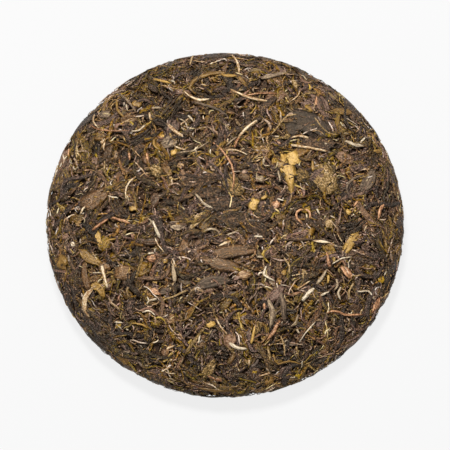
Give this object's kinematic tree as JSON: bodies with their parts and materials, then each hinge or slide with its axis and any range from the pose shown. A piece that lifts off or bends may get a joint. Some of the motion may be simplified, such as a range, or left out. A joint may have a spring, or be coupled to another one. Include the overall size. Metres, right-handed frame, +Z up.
{
  "type": "raw pu-erh tea cake",
  "caption": "Whole raw pu-erh tea leaves pressed into a round domed cake with a rounded rim and a shallow hollow in its flat back.",
  "frame": {"origin": "middle of the resting plane, under the centre of the cake", "axes": "+Z up out of the domed face; +X to the right and +Y to the far side as the domed face is seen"},
  "size_m": [0.2, 0.2, 0.027],
  "materials": {
    "tea_leaf": "dry pressed tea leaf, matt with a faint sheen on the rolled leaves"
  },
  "bodies": {
    "root": {"tea_cake": "tea_leaf"}
  },
  "joints": []
}
